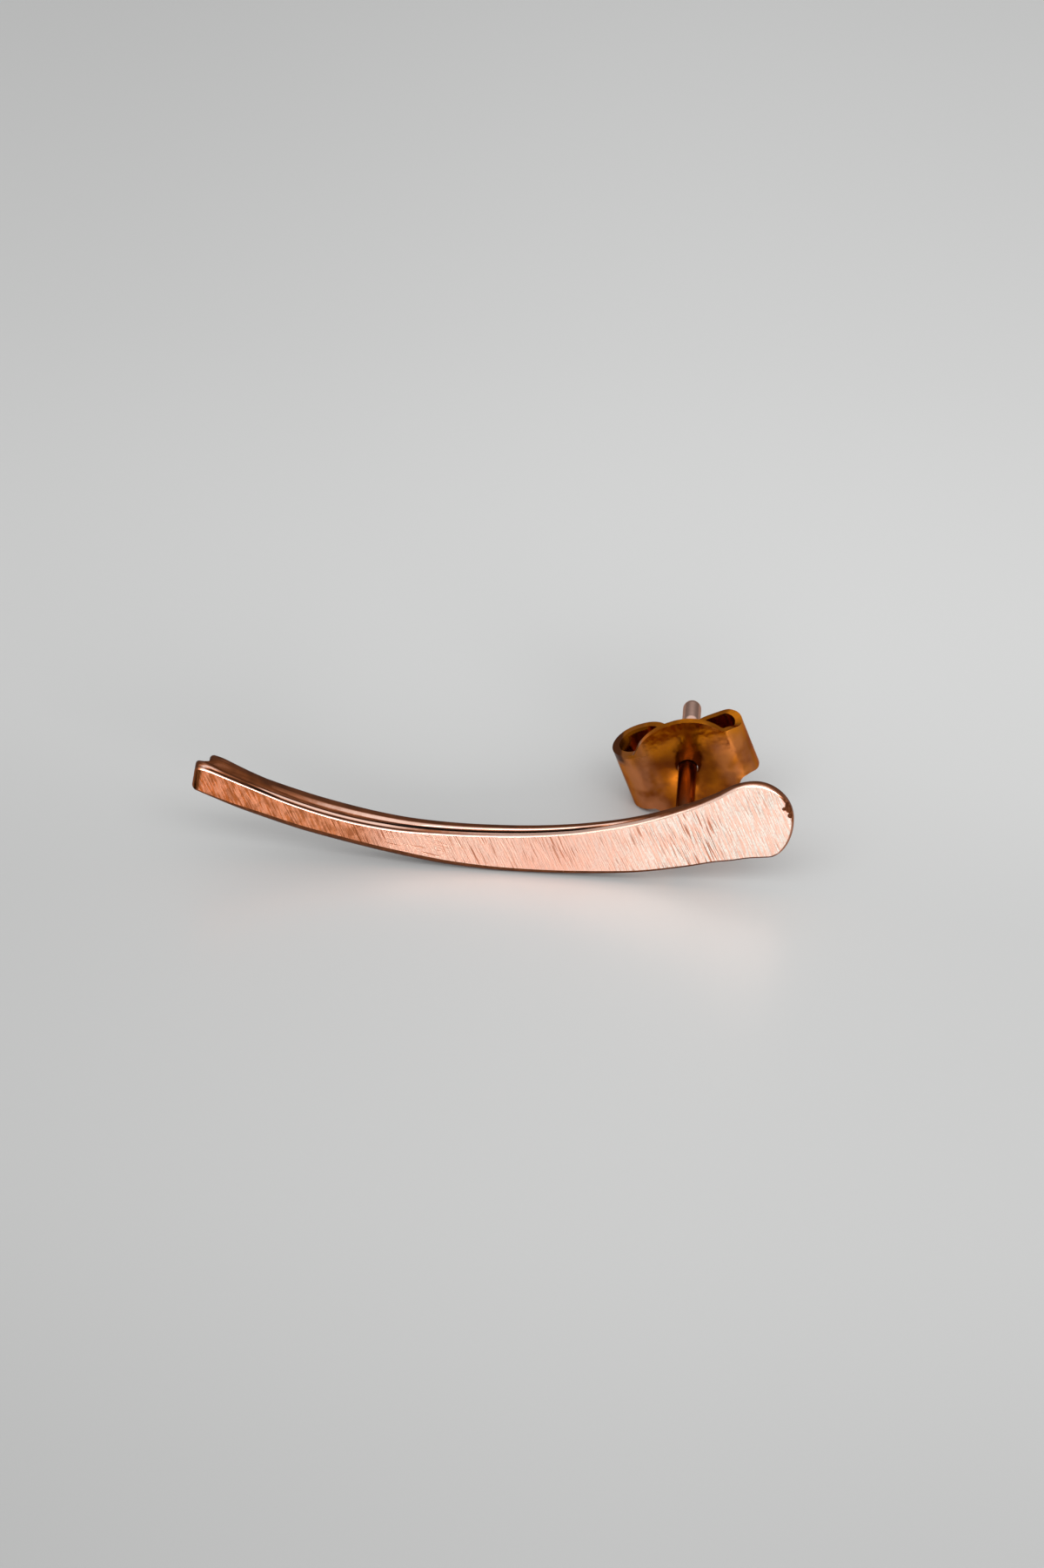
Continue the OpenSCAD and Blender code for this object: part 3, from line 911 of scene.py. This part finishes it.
def filed_face():
    made, tree, shader = surface("filed_copper", 1)
    flat = own_place(tree, REST.inverted())
    turned = own_place(tree, TO_MARKS @ REST.inverted())
    level = own_place(tree, TO_SCRATCHES @ REST.inverted())
    x, _, z = split(tree, flat)
    fine = use(tree, MARKS, Vector=turned, Length=0.8, Width=0.035, Bare=0.42, Soft=0.2)
    deep = use(tree, MARKS, Vector=turned, Length=1.3, Width=0.06, Bare=0.53, Soft=0.1)
    streak = use(tree, MARKS, Vector=turned, Length=0.9, Width=0.09, Bare=0.42, Soft=0.18)
    scratch = use(tree, MARKS, Vector=level, Length=1.2, Width=0.05, Bare=0.58, Soft=0.06)
    scratch = times(tree, stretch(tree, x, *SCRATCHED), scratch)
    # the marks are deepest in two places and in soft patches, which fade towards the paddle's tip
    patches = times(tree, between(tree, noise(tree, flat, 0.6, 1.0), 0.42, 0.6),
                    between(tree, x, 6.0, 8.5, 0.9, 0.4))
    right_marks = times(tree, stretch(tree, x, *RIGHT_MARKED), between(tree, z, 1.7, 0.7, 0.15, 1.0))
    left_marks = stretch(tree, x, *LEFT_MARKED)
    strong = maths(tree, "MAXIMUM", patches, maths(tree, "MAXIMUM", right_marks, left_marks))
    deep = maths(tree, "MAXIMUM", times(tree, deep, strong), scratch)
    # the narrow part gets the darker, browner copies of the colours as painted shade, and mottled patches
    # with painted reflections; the wide part has pale and red streaks
    narrow = between(tree, x, -4.2, -5.6)
    speckle = between(tree, noise(tree, flat, 9.0, 2.0), 0.45, 0.65)
    red = blend(tree, narrow, WIDE_RED, NARROW_RED)
    # the copper's tone along the bar carries painted light: browner and darker at the narrow end, paler at
    # the paddle
    colour = tones(tree, x, FACE_TONES_AND_LIGHT, -TONES_REACH, TONES_REACH)
    colour = blend(tree, times(tree, speckle, 0.35), colour, red)
    colour = blend(tree, times(tree, fine, 0.3), colour, red)
    wide = between(tree, x, 1.0, 7.0, 0.35, 0.65)
    colour = blend(tree, times(tree, streak, wide), colour, WIDE_STREAK)
    grain = between(tree, noise(tree, flat, 2.3, 3.0, 0.6), 0.42, 0.6)
    colour = blend(tree, times(tree, grain, narrow, 0.7), colour, MOTTLE_AND_REFLECTION)
    colour = blend(tree, times(tree, streak, narrow, 0.3), colour, NARROW_STREAK)
    dark = blend(tree, narrow, WIDE_MARK, NARROW_MARK)
    colour = blend(tree, times(tree, deep, 0.85), colour, dark)
    # the forging's brown skin is left on the end, which leans, darkened further by painted shade
    end = maths(tree, "SUBTRACT", x, times(tree, z, END_LEAN))
    colour = blend(tree, between(tree, end, -12.0, -12.12, 0.0, 0.97), colour, END_BROWN_AND_SHADE)
    tree.links.new(colour, shader.inputs["Base Color"])
    tree.links.new(maths(tree, "ADD", 0.36, times(tree, streak, 0.1)), shader.inputs["Roughness"])
    height = maths(tree, "ADD", times(tree, deep, -0.3), times(tree, fine, -0.2))
    height = maths(tree, "ADD", height, times(tree, noise(tree, flat, 1.3, 2.0), 0.8))
    height = maths(tree, "ADD", height, times(tree, streak, 0.2))
    relief(tree, shader, height, FACE_RELIEF)
    return made


# The rest of the bar: brown skin in its two shades, rubbed copper, grooves painted black as shade, and the
# wire with painted shade at its foot and painted light at its tip
DARK_SKIN, BROWN_SKIN = (0.025, 0.007, 0.002, 1), (0.12, 0.034, 0.01, 1)
BRIGHT_COPPER, DULL_COPPER = (0.95, 0.63, 0.51, 1), (0.42, 0.15, 0.07, 1)
GROOVE_SHADE = (0.003, 0.001, 0.0005, 1)
WIRE_FOOT_SHADED, WIRE_TIP_LIT = (0.13, 0.062, 0.032, 1), (0.68, 0.44, 0.36, 1)


def bar_skin():
    made, tree, shader = surface("forged_copper", 1)
    flat = own_place(tree, REST.inverted())
    y = split(tree, flat)[1]
    at = tree.nodes.new("ShaderNodeAttribute")
    at.attribute_name = "tarnish_and_shade"
    skin = use(tree, SKIN, Vector=flat, Tarnish=at.outputs["Fac"], Ragged=0.3, Grain=4.0)
    brown = blend(tree, noise(tree, flat, 1.6, 2.0), DARK_SKIN, BROWN_SKIN)
    warm = blend(tree, between(tree, skin, 0.0, 0.55), BRIGHT_COPPER, DULL_COPPER)
    colour = blend(tree, between(tree, skin, 0.45, 0.95), warm, brown)
    # the grooves are painted black: painted shade
    colour = blend(tree, between(tree, at.outputs["Fac"], 1.0, 1.4), colour, GROOVE_SHADE)
    # the wire of the post is its own darker tone, with painted shade at its foot and painted light making it
    # paler towards its tip
    wire = blend(tree, between(tree, y, 4.5, 6.5), WIRE_FOOT_SHADED, WIRE_TIP_LIT)
    colour = blend(tree, between(tree, y, 0.95, 1.5), colour, wire)
    tree.links.new(colour, shader.inputs["Base Color"])
    tree.links.new(maths(tree, "ADD", 0.18, times(tree, skin, 0.12)), shader.inputs["Roughness"])
    tree.links.new(between(tree, skin, 0.5, 0.95, 1.0, 0.1), shader.inputs["Metallic"])
    shader.inputs["Specular IOR Level"].default_value = 0.1
    shader.inputs["Specular Tint"].default_value = (0.6, 0.42, 0.34, 1)
    height = maths(tree, "ADD", noise(tree, flat, 5.0, 3.0), noise(tree, flat, 1.2, 1.0))
    relief(tree, shader, height, BAR_RELIEF)
    return made


# The nut: its two shades, painted light in amber on its upper part, a painted sheen on the front of its rolls
# and painted shade on its cut edge
NUT_SHADE, NUT_BROWN = (0.22, 0.045, 0.001, 1), (0.50, 0.14, 0.003, 1)
NUT_LIT_AMBER, NUT_SHEEN = (0.85, 0.27, 0.004, 1), (0.64, 0.24, 0.10, 1)
NUT_PAINTED_SHADE = (0.05, 0.012, 0.001, 1)


def nut_skin():
    made, tree, shader = surface("lacquered_nut", 1)
    flat = own_place(tree, (REST @ NUT_PLACE).inverted())
    x, y, z = split(tree, flat)
    shade = noise(tree, flat, 0.9, 3.0)
    colour = blend(tree, between(tree, shade, 0.3, 0.7), NUT_SHADE, NUT_BROWN)
    # painted light: the upper part is lit amber
    above = times(tree, between(tree, z, 0.6, 1.5), 0.7)
    colour = blend(tree, above, colour, NUT_LIT_AMBER)
    # a painted sheen on the front of the rolls, strongest on the left one
    rolls = times(tree, between(tree, maths(tree, "ABSOLUTE", x), 1.0, 1.6), between(tree, y, 0.9, 0.4))
    sheen_patches = between(tree, noise(tree, flat, 1.1, 2.0), 0.3, 0.6)
    rubbed = times(tree, rolls, sheen_patches, between(tree, x, 1.0, -1.0, 0.35, 0.7))
    colour = blend(tree, rubbed, colour, NUT_SHEEN)
    # painted shade on the cut edge of the left roll and on its far upper corner
    cut = times(tree, between(tree, x, -1.2, -1.6), between(tree, z, 1.15, 1.25), 0.75)
    corner = times(tree, between(tree, x, -2.1, -2.5), between(tree, z, 0.7, 1.1))
    dark = maths(tree, "MAXIMUM", cut, corner)
    colour = blend(tree, dark, colour, NUT_PAINTED_SHADE)
    tree.links.new(colour, shader.inputs["Base Color"])
    tree.links.new(between(tree, dark, 0.0, 1.0, 1.0, 0.1), shader.inputs["Metallic"])
    rough = between(tree, noise(tree, flat, 3.0, 2.0), 0.3, 0.7, 0.14, 0.26)
    tree.links.new(rough, shader.inputs["Roughness"])
    coat = times(tree, maths(tree, "SUBTRACT", 1.0, dark), 0.15)
    tree.links.new(coat, shader.inputs["Coat Weight"])
    shader.inputs["Coat Roughness"].default_value = 0.12
    shader.inputs["Specular IOR Level"].default_value = 0.1
    shader.inputs["Specular Tint"].default_value = (0.75, 0.45, 0.2, 1)
    relief(tree, shader, noise(tree, flat, 1.4, 2.0), NUT_RELIEF)
    return made


bar.data.materials.append(bar_skin())
bar.data.materials.append(filed_face())
# the flat front takes the second material
facing = REST.to_3x3().normalized() @ Vector((0, -1, 0))
for f in bar.data.polygons:
    f.material_index = 1 if f.normal.dot(facing) > 0.995 else 0
nut.data.materials.append(nut_skin())

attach(bar, "climber")
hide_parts("climber_bar")
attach(nut, "nut")
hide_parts("ear_nut")

# The floor, in metres: its size, and the painted light on the paper, which falls off from the middle: its
# tone at distances from the middle towards the back, in a ramp of this reach to either side
FLOOR_SIZE, PAPER_REACH = 0.8, 0.1
PAPER_LIGHT_FALLOFF = [(-0.1, 0.75), (-0.065, 0.44), (-0.05, 0.41), (-0.029, 0.52), (-0.007, 0.515), (0.004, 0.585),
         (0.02, 0.615), (0.038, 0.59), (0.069, 0.54), (0.09, 0.5)]
# painted light falloff from side to side: between these two places from left to right it goes from the one
# factor to the other
PAPER_SIDE_FALLOFF = (-0.032, 0.012, 0.87, 1.02)
# the paper is this much greener than grey
PAPER_GREEN = 1.006


def paper_skin():
    made, tree, shader = surface("pale_paper", 0)
    where = tree.nodes.new("ShaderNodeTexCoord")
    x, y, _ = split(tree, where.outputs["Object"])
    table = [(at, (grey, grey * PAPER_GREEN, grey)) for at, grey in PAPER_LIGHT_FALLOFF]
    # the paper's tone is painted light, darker towards the front, the back and the left
    tone = tones(tree, y, table, -PAPER_REACH, PAPER_REACH)
    tone = blend(tree, 1.0, tone, between(tree, x, *PAPER_SIDE_FALLOFF), "MULTIPLY")
    tree.links.new(tone, shader.inputs["Base Color"])
    shader.inputs["Roughness"].default_value = 0.35
    return made


bpy.ops.object.select_all(action="DESELECT")
bpy.ops.mesh.primitive_plane_add(size=FLOOR_SIZE, location=(0, 0, 0))
floor = bpy.context.object
floor.name = "floor"
floor.data.materials.append(paper_skin())

scene = bpy.context.scene


# The light: a soft sky, one panel above in front and one far in front
def studio_sky():
    """Even in front, dim low behind and bright high behind."""
    world = bpy.data.worlds.new("studio")
    world.use_nodes = True
    tree = world.node_tree
    where = tree.nodes.new("ShaderNodeTexCoord")
    _, y, z = split(tree, where.outputs["Generated"])
    behind = between(tree, z, 0.35, 0.9, 0.25, 1.0)
    before = between(tree, z, -0.1, 0.2, 0.7, 0.8)
    sky = blend(tree, between(tree, y, -0.25, 0.3), before, behind)
    tree.links.new(sky, tree.nodes["Background"].inputs["Color"])
    return world


def softbox(name, at, aim, size, power):
    data = bpy.data.lights.new(name, "AREA")
    data.shape = "RECTANGLE"
    data.size, data.size_y = size
    data.energy = power
    lamp = bpy.data.objects.new(name, data)
    scene.collection.objects.link(lamp)
    lamp.location = at
    lamp.rotation_euler = (Vector(aim) - Vector(at)).to_track_quat("-Z", "Y").to_euler()


scene.world = studio_sky()
softbox("key", at=(0, -0.185, 0.25), aim=(0, 0, 0), size=(0.42, 0.13), power=0.4)
softbox("low_front", at=(0.25, -0.9, 0.19), aim=(0, 0, 0.003), size=(0.76, 0.3), power=7.0)

# The camera, from the photograph
AZIMUTH, ELEVATION, ROLL = math.radians(2.0), math.radians(33.29), math.radians(2.657)
AIM = Vector((1.1542, -5.0222, 4.4001)) * MM
DISTANCE, LENS, SENSOR_HEIGHT, CLIP_START = 0.276, 157.27, 36, 0.01


def photo_camera():
    back_way = Vector((math.sin(AZIMUTH) * math.cos(ELEVATION), -math.cos(AZIMUTH) * math.cos(ELEVATION),
                       math.sin(ELEVATION)))
    level = Vector((math.cos(AZIMUTH), math.sin(AZIMUTH), 0))
    rise = back_way.cross(level)
    right = level * math.cos(ROLL) + rise * math.sin(ROLL)
    up = rise * math.cos(ROLL) - level * math.sin(ROLL)
    data = bpy.data.cameras.new("camera")
    data.lens = LENS
    data.sensor_fit = "VERTICAL"
    data.sensor_height = SENSOR_HEIGHT
    data.clip_start = CLIP_START
    camera = bpy.data.objects.new("camera", data)
    scene.collection.objects.link(camera)
    turn = Matrix((right, up, back_way)).transposed().to_4x4()
    camera.matrix_world = Matrix.Translation(AIM + back_way * DISTANCE) @ turn
    return camera


scene.camera = photo_camera()
scene.view_settings.view_transform = "Standard"
